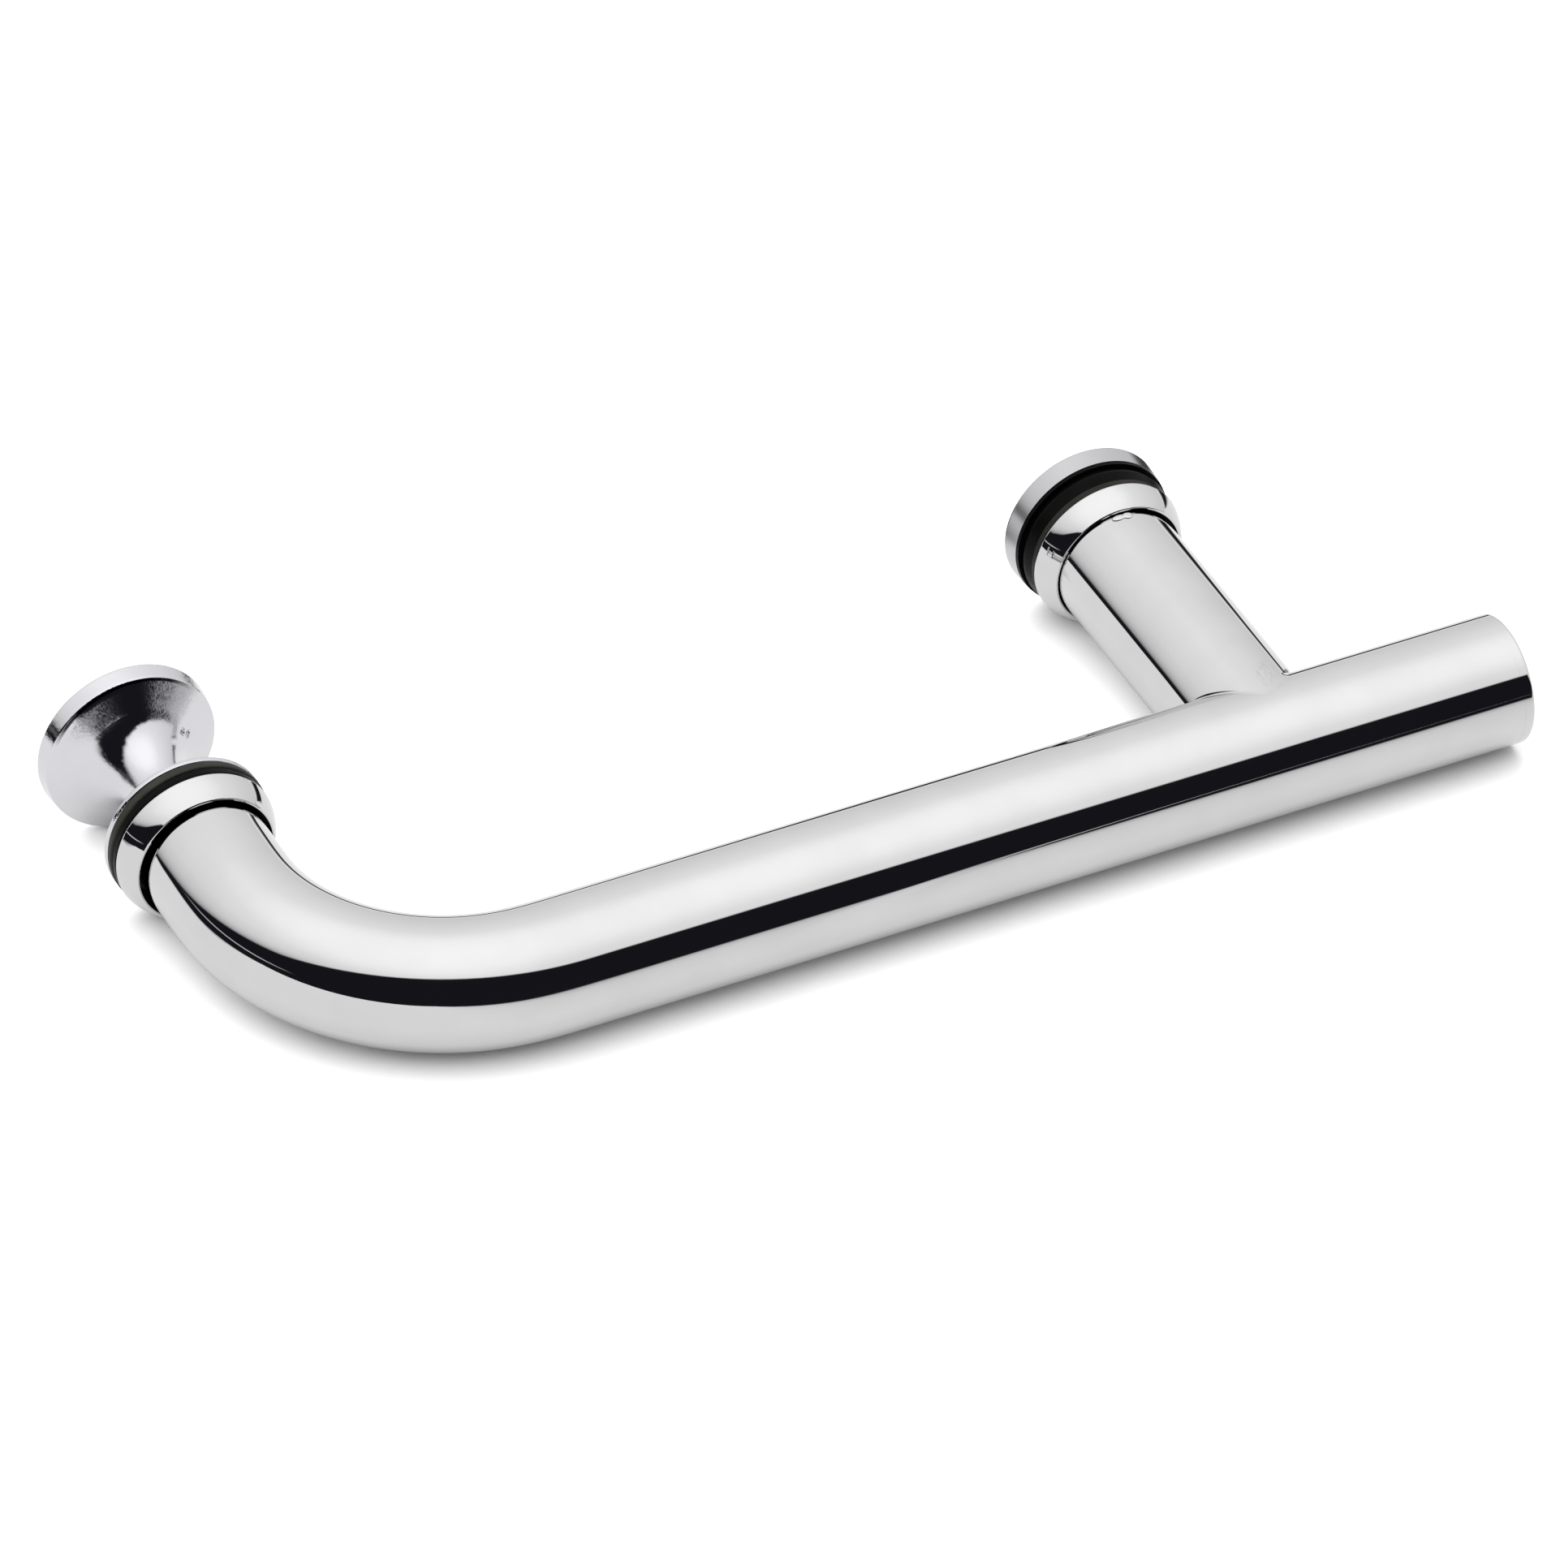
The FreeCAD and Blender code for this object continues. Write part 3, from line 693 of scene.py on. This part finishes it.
bpy.ops.object.select_all(action="DESELECT")
bpy.ops.mesh.primitive_torus_add(
    major_segments=WELD_SECTIONS, minor_segments=WELD_STEPS + 2,
    major_radius=standoff_radius, minor_radius=WELD_ROOT)
weld = bpy.context.object
weld.name = "weld"
weld.data.name = "weld"
for section in range(WELD_SECTIONS):
    turn = 2 * math.pi * section / WELD_SECTIONS - math.pi
    for step, point in enumerate(weld_section(turn)):
        weld.data.vertices[section * (WELD_STEPS + 2) + step].co = point
bpy.ops.object.mode_set(mode="EDIT")
bpy.ops.mesh.select_all(action="SELECT")
bpy.ops.mesh.normals_make_consistent(inside=False)
bpy.ops.object.mode_set(mode="OBJECT")
finish_piece(weld, "tube_chrome")

# %% [markdown]
# A blister in the plating.
#
# By the collar the plate has lifted in two small bubbles that run into each other. Two flattened
# spheres are half sunk in the tube, joined, and melted into one skin by a voxel Remesh and a Smooth
# modifier. A bump in the finish would be less work, but the mesh would stay flat.

# %% Bubbles
BLISTER_Y = -1.45 * MM
BLISTER_HEIGHT = 0.26 * MM
BUBBLES = [(-3.5, 1.10 * MM, 0.66 * MM), (5, 0.85 * MM, 0.80 * MM)]

bubbles = []
for degrees, half_width, half_length in BUBBLES:
    turn = math.radians(degrees)
    out = Vector((math.sin(turn), 0, math.cos(turn))) * standoff_radius
    bpy.ops.object.select_all(action="DESELECT")
    bpy.ops.mesh.primitive_uv_sphere_add(
        segments=48, ring_count=24, radius=1.0, rotation=(0, turn, 0),
        location=Vector((standoff_x, BLISTER_Y, 0)) + STANDOFF_SHIFT + out,
        scale=(half_width, half_length, BLISTER_HEIGHT))
    bpy.ops.object.transform_apply(location=True, rotation=True, scale=True)
    bubbles.append(bpy.context.object)
print("bubbles:", len(bubbles))

# %% Blister
BLISTER_VOXEL = 0.06 * MM
BLISTER_SMOOTHING = 14

bpy.ops.object.select_all(action="DESELECT")
for bubble in bubbles:
    bubble.select_set(True)
bpy.context.view_layer.objects.active = bubbles[0]
bpy.ops.object.join()
blister = bubbles[0]
blister.name = "plating_blister"
blister.data.name = "plating_blister"
apply_modifier(blister, "REMESH", mode="VOXEL", voxel_size=BLISTER_VOXEL)
apply_modifier(blister, "SMOOTH", factor=0.5, iterations=BLISTER_SMOOTHING)
finish_piece(blister, "tube_chrome", smooth_under=180)

# %% [markdown]
# The floor.
#
# The handle lies on the free side of its bar and on the rim of its knob, so it is about three degrees
# off the floor. The CAD frame stays square to the handle, and the floor leans instead. There are two
# floors: a paper one for the camera, and one that only the chrome sees. The second glows evenly and darkens
# where the handle is close above it, which gives a clean mirror image of a floor in soft light.

# %% Lean of the floor
FLOOR_GAP = 0.05 * MM
RIM_FROM_BOSS = 22 * MM

bar_contact = Vector((0, bar_axis_y, bar_low.z))
knob_contact = Vector((0, knob_low.y + RIM_FROM_BOSS, knob_low.z))
lean = math.atan2(bar_contact.z - knob_contact.z, knob_contact.y - bar_contact.y)
floor_place = Matrix.Translation(bar_contact - Vector((0, 0, FLOOR_GAP))) @ Matrix.Rotation(-lean, 4, "X")
print("the floor leans by", round(math.degrees(lean), 2), "degrees")

# %% Helpers for sheets on the floor
def lay_on_floor(name, size, lift):
    """A square sheet that lies on the leaning floor, raised a little above it."""
    bpy.ops.object.select_all(action="DESELECT")
    bpy.ops.mesh.primitive_plane_add(size=size)
    sheet = bpy.context.object
    sheet.name = name
    sheet.matrix_world = floor_place @ Matrix.Translation((0, 0, lift))
    bpy.ops.object.transform_apply(location=True, rotation=True, scale=True)
    return sheet


def mirror_only(sheet):
    """Only reflections see this sheet."""
    sheet.visible_camera = False
    sheet.visible_diffuse = False
    sheet.visible_transmission = False
    sheet.visible_volume_scatter = False
    sheet.visible_shadow = False


def start_glow(sheet):
    """Gives a sheet a new material of its own name, with nothing in it yet but the output."""
    material = bpy.data.materials.new(sheet.name)
    material.use_nodes = True
    sheet.data.materials.append(material)
    tree = material.node_tree
    tree.nodes.clear()
    return tree, add_node(tree, "OutputMaterial").inputs["Surface"]


print("helpers for sheets are ready")

# %% Paper floor
FLOOR_SIZE = 30.0
PAPER_TONE = 0.88
PAPER_SHADE = 0.98
PAPER_CLOUD = 40 * MM

floor = lay_on_floor("floor", FLOOR_SIZE, 0.0)
floor.visible_glossy = False
tree, shader, place = start_finish("pale_floor")
cloud = add_grain(tree, place, PAPER_CLOUD, 3.0)
paper_tones = [(0.3, PAPER_SHADE * PAPER_TONE), (0.7, PAPER_TONE)]
join(tree, add_ramp(tree, cloud, paper_tones), shader.inputs["Base Color"])
shader.inputs["Roughness"].default_value = 0.9
shader.inputs["Specular IOR Level"].default_value = 0.0
floor.data.materials.append(finishes["pale_floor"])
print("floor:", FLOOR_SIZE, "m wide")

# %% Mirrored floor
MIRROR_FLOOR_LIFT = 0.2 * MM
SHADOW_REACH = 150 * MM
CONTACT_TONES = [(0.0, 0.03), (0.25, 0.42), (0.5, 0.86), (0.8, 1.0)]

mirror_floor = lay_on_floor("mirror_floor", FLOOR_SIZE, MIRROR_FLOOR_LIFT)
mirror_only(mirror_floor)
tree, surface = start_glow(mirror_floor)
open_sky = add_node(tree, "AmbientOcclusion", {"Distance": SHADOW_REACH})
glow = add_node(tree, "Emission")
join(tree, add_ramp(tree, open_sky.outputs["AO"], CONTACT_TONES), glow.inputs["Color"])
join(tree, glow.outputs["Emission"], surface)
print("shadows on the mirrored floor reach", SHADOW_REACH / MM, "mm")

# %% [markdown]
# The studio round the handle.
#
# The chrome shows three things above the floor: a wide soft panel overhead, brightest straight up; the
# dark room in front of the panel, past its straight front and left edges; and a pale back wall. In the
# dark room, far to the left, there is also one thin line of light.
# A straight edge of a far panel is a plane through the eye, so each edge is one dot product with the
# direction of view, and a ramp makes it as sharp or as soft as it is.

# %% Start of the world
world = bpy.data.worlds.new("studio")
bpy.context.scene.world = world
world.use_nodes = True
tree = world.node_tree
look = add_node(tree, "TexCoord").outputs["Generated"]


def above_edge(azimuth, rise):
    """How far a direction is above a far straight edge that is highest at one azimuth, in degrees."""
    turn = math.radians(azimuth)
    return add_dot(tree, look, (-rise * math.cos(turn), -rise * math.sin(turn), 1.0))


print("world:", world.name)

# %% Panel and dark room
PANEL_TONES = [
    (0.0, 0.603), (0.5, 0.727), (0.707, 0.791), (0.809, 0.874), (0.866, 0.927), (0.914, 0.962), (1.0, 1.0),
]
FRONT_EDGE = (-115, 1.13)
FRONT_SOFTNESS = (-0.03, 0.035)
LEFT_EDGE = (-134, 0.70)
LEFT_SOFTNESS = (-0.01, 0.45)
LEFT_TONES = [
    (0.0, 0.0), (0.04, 0.20), (0.10, 0.50), (0.20, 0.70),
    (0.33, 0.84), (0.52, 0.93), (0.85, 0.98), (1.0, 1.0),
]

panel = add_ramp(tree, above_edge(0, 0.0), PANEL_TONES)
front = add_range(tree, above_edge(*FRONT_EDGE), *FRONT_SOFTNESS, 0.0, 1.0, smooth=True)
left = add_ramp(tree, add_range(tree, above_edge(*LEFT_EDGE), *LEFT_SOFTNESS, 0.0, 1.0), LEFT_TONES)
shown = add_math(tree, "MULTIPLY", front, left)
print("the panel has", len(PANEL_TONES), "tones")

# %% Line of light
LINE_EDGE = (-135, 0.185)
LINE_HALF = 0.014
LINE_CORE = 0.6
LINE_TONE = 0.75
LINE_LEFT = 175
LINE_END = (0.80, 0.87)

off_line = add_math(tree, "ABSOLUTE", above_edge(*LINE_EDGE))
line = add_range(tree, off_line, LINE_CORE * LINE_HALF, LINE_HALF, LINE_TONE, 0.0)
at_left = add_math(tree, "MULTIPLY", above_edge(LINE_LEFT, 1.0), -1.0)
line = add_math(tree, "MULTIPLY", line, add_range(tree, at_left, *LINE_END, 0.0, 1.0))
shown = add_math(tree, "MAXIMUM", shown, line)
print("the line of light has", LINE_TONE, "of the panel's tone")

# %% World
CHROME_SHARE = 0.66
PANEL_PEAK = 0.905 / CHROME_SHARE
DARK_ROOM = (0.010, 0.010, 0.014, 1.0)

lit = add_node(tree, "VectorMath", {"Scale": PANEL_PEAK}, operation="SCALE")
join(tree, panel, lit.inputs[0])
studio = add_node(tree, "Mix", {"A": DARK_ROOM}, data_type="RGBA")
join(tree, shown, studio.inputs["Factor"])
join(tree, lit.outputs["Vector"], studio.inputs["B"])
join(tree, studio.outputs["Result"], tree.nodes["Background"].inputs["Color"])
print("studio world has", len(tree.nodes), "nodes")

# %% [markdown]
# Black cards on the floor.
#
# Photographers lay black cards round chrome so that it gets dark edges to be read by. These lie just
# outside the picture: in front of the bar, behind it, and far off to its left. Only mirror rays see them,
# so the floor stays plain and pale from every side.

# %% Helpers for cards
def past_line(tree, place, point, azimuth):
    """How far a place is past a line through a point, on the side that the azimuth in degrees points to."""
    turn = math.radians(azimuth)
    start = point[0] * math.cos(turn) + point[1] * math.sin(turn)
    return add_math(tree, "SUBTRACT", add_dot(tree, place, (math.cos(turn), math.sin(turn), 0.0)), start)


def lay_card(name, lift):
    """A black sheet for reflections only, and the socket that says how solid it is at a place."""
    sheet = lay_on_floor(name, FLOOR_SIZE, lift)
    mirror_only(sheet)
    tree, surface = start_glow(sheet)
    mixer = add_node(tree, "MixShader")
    black = add_node(tree, "Emission", {"Color": DARK_ROOM})
    join(tree, add_node(tree, "BsdfTransparent").outputs["BSDF"], mixer.inputs[1])
    join(tree, black.outputs["Emission"], mixer.inputs[2])
    join(tree, mixer.outputs["Shader"], surface)
    place = add_node(tree, "TexCoord").outputs["Object"]
    return tree, place, mixer.inputs["Fac"]


print("helpers for cards are ready")

# %% Front card
FRONT_CARD_LIFT = 0.4 * MM
FRONT_CARD_CORNER = (75 * MM, -150 * MM)
FRONT_CARD_FADE = (-90 * MM, 10 * MM)
FRONT_CARD_TONES = [(0.0, 0.0), (0.4, 0.14), (0.7, 0.36), (0.82, 0.60), (1.0, 1.0)]
GAP_POINT = (140 * MM, -170 * MM)
GAP_HALF = 4 * MM
GAP_TONE = 0.5

tree, place, solid = lay_card("front_card", FRONT_CARD_LIFT)
ahead = past_line(tree, place, FRONT_CARD_CORNER, -90)
aside = past_line(tree, place, FRONT_CARD_CORNER, -27)
depth = add_math(tree, "MINIMUM", ahead, aside)
card = add_ramp(tree, add_range(tree, depth, *FRONT_CARD_FADE, 0.0, 1.0), FRONT_CARD_TONES)
off_gap = add_math(tree, "ABSOLUTE", past_line(tree, place, GAP_POINT, 31))
gap = add_range(tree, off_gap, GAP_HALF, 2 * GAP_HALF, GAP_TONE, 1.0)
join(tree, add_math(tree, "MULTIPLY", card, gap), solid)
print("front card has", len(tree.nodes), "nodes")

# %% Back and left cards
BACK_CARD_LIFT = 0.6 * MM
BESIDE_POINT = (100 * MM, 33 * MM)
BEHIND_POINT = (107 * MM, 20 * MM)
BACK_EDGE = 10 * MM
BACK_END = (107 * MM, 300 * MM)
BACK_FADE = 200 * MM
LEFT_CORNER = (-140 * MM, 20 * MM)
LEFT_FADE = 80 * MM

tree, place, solid = lay_card("back_card", BACK_CARD_LIFT)
beside = past_line(tree, place, BESIDE_POINT, 45)
behind = past_line(tree, place, BEHIND_POINT, 99)
near = add_range(tree, add_math(tree, "MINIMUM", beside, behind), 0.0, BACK_EDGE, 0.0, 1.0)
far = add_range(tree, past_line(tree, place, BACK_END, -90), 0.0, BACK_FADE, 0.0, 1.0)
left_of = past_line(tree, place, LEFT_CORNER, 180)
back_of = past_line(tree, place, LEFT_CORNER, 90)
far_left = add_range(tree, add_math(tree, "MINIMUM", left_of, back_of), 0.0, LEFT_FADE, 0.0, 1.0)
join(tree, add_math(tree, "MAXIMUM", add_math(tree, "MULTIPLY", near, far), far_left), solid)
print("back card has", len(tree.nodes), "nodes")

# %% [markdown]
# A lamp for the floor.
#
# The panel that the chrome mirrors is kept a little under white, or the metal would lose its tone. A
# second, wide lamp above, a little to the left and behind, makes the floor white. Mirrors don't see it.

# %% Lamp
LAMP_PLACE = Vector((-0.45, 0.25, 1.5))
LAMP_SIZE = 3.8
LAMP_POWER = 70.0

lamp_turn = LAMP_PLACE.to_track_quat("Z", "Y").to_euler()
bpy.ops.object.select_all(action="DESELECT")
bpy.ops.object.light_add(type="AREA", location=LAMP_PLACE, rotation=lamp_turn)
lamp = bpy.context.object
lamp.name = "floor_lamp"
lamp.data.shape = "DISK"
lamp.data.size = LAMP_SIZE
lamp.data.energy = LAMP_POWER
lamp.visible_glossy = False
lamp.visible_camera = False
print("lamp:", lamp.data.energy, "W")

# %% [markdown]
# The camera.
#
# The photo was taken with a long lens, from in front and above. These values were fitted to the
# outlines of the tubes and collars in the photo, so the view needs no shift.

# %% Direction of view
AZIMUTH = math.radians(26.88)
ELEVATION = math.radians(39.71)
ROLL = math.radians(-1.23)

forward = Vector((
    math.sin(AZIMUTH) * math.cos(ELEVATION),
    math.cos(AZIMUTH) * math.cos(ELEVATION),
    -math.sin(ELEVATION),
))
right = forward.cross(Vector((0, 0, 1))).normalized()
down = forward.cross(right).normalized()
rolled_right = math.cos(ROLL) * right + math.sin(ROLL) * down
rolled_down = -math.sin(ROLL) * right + math.cos(ROLL) * down
print("the camera looks along", [round(v, 3) for v in forward])

# %% Camera
PHOTO_WIDTH = 1922
PIXELS_PER_MM = 8.802
DISTANCE = 1700
SENSOR = 36
TARGET = Vector((72.5, -21.35, 0))
SLIDE_RIGHT = 7.5
SLIDE_DOWN = -0.2
CLIP_END = 100

eye = TARGET - forward * DISTANCE + rolled_right * SLIDE_RIGHT + rolled_down * SLIDE_DOWN
bpy.ops.object.select_all(action="DESELECT")
bpy.ops.object.camera_add()
camera = bpy.context.object
camera.name = "photo_camera"
placing = Matrix((rolled_right, -rolled_down, -forward)).transposed().to_4x4()
placing.translation = eye * MM
camera.matrix_world = placing
camera.data.sensor_fit = "HORIZONTAL"
camera.data.sensor_width = SENSOR
camera.data.lens = PIXELS_PER_MM * DISTANCE * SENSOR / PHOTO_WIDTH
camera.data.clip_end = CLIP_END
bpy.context.scene.camera = camera
bpy.context.scene.view_settings.view_transform = "Standard"
print("lens:", round(camera.data.lens, 1), "mm")
